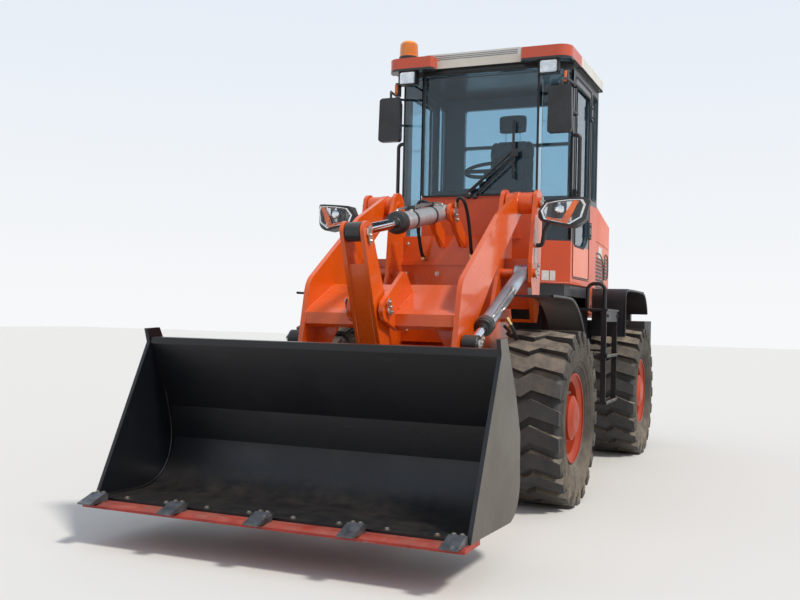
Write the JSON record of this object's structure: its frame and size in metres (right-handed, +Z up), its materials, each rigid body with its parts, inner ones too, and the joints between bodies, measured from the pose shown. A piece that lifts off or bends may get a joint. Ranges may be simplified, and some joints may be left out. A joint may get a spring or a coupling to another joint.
{
  "type": "articulated wheel loader",
  "caption": "Compact articulated wheel loader with a toothed bucket, Z-bar linkage, glazed cab and rear engine hood on lugged off-road tyres.",
  "frame": {"origin": "middle of the footprint, on the ground", "axes": "+Z up, -Y the way the machine drives, +X its left side"},
  "size_m": [1.93, 5.905, 3.1886],
  "materials": {
    "orange_paint": "semi-gloss",
    "black_paint": "satin",
    "red_edge": "satin",
    "tyre_rubber": "dusty matt",
    "cast_grey": "rough cast",
    "cylinder_steel": "brushed",
    "rod_chrome": "polished",
    "window_glass": "tinted clear",
    "lamp_amber": "gloss",
    "black_plastic": "matt",
    "seat_cover": "matt"
  },
  "bodies": {
    "rear_frame": {"rear_frame": "black_paint", "rear_axle": "cast_grey", "engine": "cast_grey", "counterweight": "black_paint", "cab_shell": "orange_paint", "cab_roof": "orange_paint", "lamps": "lamp_amber", "cab_glass": "window_glass", "seat": "seat_cover", "console": "black_plastic", "mudguards_and_steps": "black_paint", "cab_fittings": "black_plastic"},
    "engine_hood": {"engine_hood": "orange_paint"},
    "door_left": {"door_left": "black_paint", "door_glass_left": "window_glass"},
    "door_right": {"door_right": "black_paint", "door_glass_right": "window_glass"},
    "front_frame": {"front_frame": "orange_paint", "front_axle": "cast_grey", "front_mudguards": "black_paint", "headlamps": "black_plastic"},
    "lift_arms": {"lift_arms": "orange_paint"},
    "bucket": {"bucket": "black_paint", "cutting_edge": "red_edge", "bucket_teeth": "black_paint"},
    "bell_crank": {"bell_crank": "orange_paint"},
    "bucket_link": {"bucket_link": "orange_paint"},
    "tilt_barrel": {"tilt_barrel": "cylinder_steel"},
    "tilt_rod": {"tilt_rod": "rod_chrome"},
    "lift_barrel_left": {"lift_barrel_left": "cylinder_steel"},
    "lift_rod_left": {"lift_rod_left": "rod_chrome"},
    "steer_barrel_left": {"steer_barrel_left": "cylinder_steel"},
    "steer_rod_left": {"steer_rod_left": "rod_chrome"},
    "wheel_front_left": {"tyre_front_left": "tyre_rubber", "rim_front_left": "orange_paint"},
    "wheel_rear_left": {"tyre_rear_left": "tyre_rubber", "rim_rear_left": "orange_paint"},
    "lift_barrel_right": {"lift_barrel_right": "cylinder_steel"},
    "lift_rod_right": {"lift_rod_right": "rod_chrome"},
    "steer_barrel_right": {"steer_barrel_right": "cylinder_steel"},
    "steer_rod_right": {"steer_rod_right": "rod_chrome"},
    "wheel_front_right": {"tyre_front_right": "tyre_rubber", "rim_front_right": "orange_paint"},
    "wheel_rear_right": {"tyre_rear_right": "tyre_rubber", "rim_rear_right": "orange_paint"}
  },
  "joints": [
    {"name": "steering", "type": "hinge", "parent": "rear_frame", "child": "front_frame", "pos_m": [0, 0.527, 0.73], "axis": [0, 0, 1], "range_deg": [-35, 35]},
    {"name": "arm_lift", "type": "hinge", "parent": "front_frame", "child": "lift_arms", "pos_m": [0, -0.528, 1.88], "axis": [-1, 0, 0], "range_deg": [-4, 80]},
    {"name": "bucket_tilt", "type": "hinge", "parent": "lift_arms", "child": "bucket", "pos_m": [0, -1.998, 0.29], "axis": [1, 0, 0], "range_deg": [-40, 110]},
    {"name": "crank_swing", "type": "hinge", "parent": "lift_arms", "child": "bell_crank", "pos_m": [0, -1.778, 1.16], "axis": [-1, 0, 0], "range_deg": [-10.42, 27.78]},
    {"name": "link_swing", "type": "hinge", "parent": "bucket", "child": "bucket_link", "pos_m": [0, -2.096, 0.432], "axis": [-1, 0, 0], "range_deg": [-30.3, 82.45]},
    {"name": "tilt_barrel_swing", "type": "hinge", "parent": "front_frame", "child": "tilt_barrel", "pos_m": [0, -0.698, 1.81], "axis": [-1, 0, 0], "range_deg": [-4.78, 86.1]},
    {"name": "tilt_rod_stroke", "type": "slide", "parent": "tilt_barrel", "child": "tilt_rod", "axis": [0, 0.9826, 0.1857], "range_m": [-0.0791, 0.2123]},
    {"name": "lift_barrel_swing_left", "type": "hinge", "parent": "front_frame", "child": "lift_barrel_left", "pos_m": [0.537, -0.628, 1.42], "axis": [-1, 0, 0], "range_deg": [-4.42, 78.9]},
    {"name": "lift_rod_stroke_left", "type": "slide", "parent": "lift_barrel_left", "child": "lift_rod_left", "axis": [0, -0.914, -0.4057], "range_m": [-0.033, 0.6034]},
    {"name": "steer_barrel_swing_left", "type": "hinge", "parent": "rear_frame", "child": "steer_barrel_left", "pos_m": [0.22, 0.827, 0.725], "axis": [0, 0, 1], "range_deg": [-21.2, 21.2]},
    {"name": "steer_rod_stroke_left", "type": "slide", "parent": "steer_barrel_left", "child": "steer_rod_left", "axis": [0, 1, 0], "range_m": [-0.136, 0.136]},
    {"name": "wheel_spin_front_left", "type": "hinge", "parent": "front_frame", "child": "wheel_front_left", "pos_m": [0, -0.748, 0.53], "axis": [-1, 0, 0], "continuous": true},
    {"name": "wheel_spin_rear_left", "type": "hinge", "parent": "rear_frame", "child": "wheel_rear_left", "pos_m": [0, 1.802, 0.53], "axis": [-1, 0, 0], "continuous": true},
    {"name": "door_swing_left", "type": "hinge", "parent": "rear_frame", "child": "door_left", "pos_m": [0.668, 0.806, 2.15], "axis": [0, 0, 1], "range_deg": [0, 100]},
    {"name": "lift_barrel_swing_right", "type": "hinge", "parent": "front_frame", "child": "lift_barrel_right", "pos_m": [-0.537, -0.628, 1.42], "axis": [-1, 0, 0], "range_deg": [-4.42, 78.9]},
    {"name": "lift_rod_stroke_right", "type": "slide", "parent": "lift_barrel_right", "child": "lift_rod_right", "axis": [0, -0.914, -0.4057], "range_m": [-0.033, 0.6034]},
    {"name": "steer_barrel_swing_right", "type": "hinge", "parent": "rear_frame", "child": "steer_barrel_right", "pos_m": [-0.22, 0.827, 0.725], "axis": [0, 0, 1], "range_deg": [-21.2, 21.2]},
    {"name": "steer_rod_stroke_right", "type": "slide", "parent": "steer_barrel_right", "child": "steer_rod_right", "axis": [0, 1, 0], "range_m": [-0.136, 0.136]},
    {"name": "wheel_spin_front_right", "type": "hinge", "parent": "front_frame", "child": "wheel_front_right", "pos_m": [0, -0.748, 0.53], "axis": [-1, 0, 0], "continuous": true},
    {"name": "wheel_spin_rear_right", "type": "hinge", "parent": "rear_frame", "child": "wheel_rear_right", "pos_m": [0, 1.802, 0.53], "axis": [-1, 0, 0], "continuous": true},
    {"name": "door_swing_right", "type": "hinge", "parent": "rear_frame", "child": "door_right", "pos_m": [-0.668, 0.806, 2.15], "axis": [0, 0, -1], "range_deg": [0, 100]},
    {"name": "hood_lift", "type": "hinge", "parent": "rear_frame", "child": "engine_hood", "pos_m": [0, 1.092, 2.11], "axis": [1, 0, 0], "range_deg": [0, 55]}
  ],
  "couplings": [
    {"joint": "crank_swing", "follows": "bucket_tilt", "ratio": 0.248},
    {"joint": "link_swing", "follows": "bucket_tilt", "ratio": 0.745},
    {"joint": "tilt_barrel_swing", "follows": "arm_lift", "ratio": 1.07},
    {"joint": "tilt_rod_stroke", "follows": "bucket_tilt", "m_per_rad": 0.109},
    {"joint": "lift_barrel_swing_left", "follows": "arm_lift", "ratio": 0.98},
    {"joint": "lift_rod_stroke_left", "follows": "arm_lift", "m_per_rad": 0.43},
    {"joint": "steer_barrel_swing_left", "follows": "steering", "ratio": 0.589},
    {"joint": "steer_rod_stroke_left", "follows": "steering", "m_per_rad": 0.2162},
    {"joint": "lift_barrel_swing_right", "follows": "arm_lift", "ratio": 0.98},
    {"joint": "lift_rod_stroke_right", "follows": "arm_lift", "m_per_rad": 0.43},
    {"joint": "steer_barrel_swing_right", "follows": "steering", "ratio": 0.589},
    {"joint": "steer_rod_stroke_right", "follows": "steering", "m_per_rad": -0.2162}
  ]
}
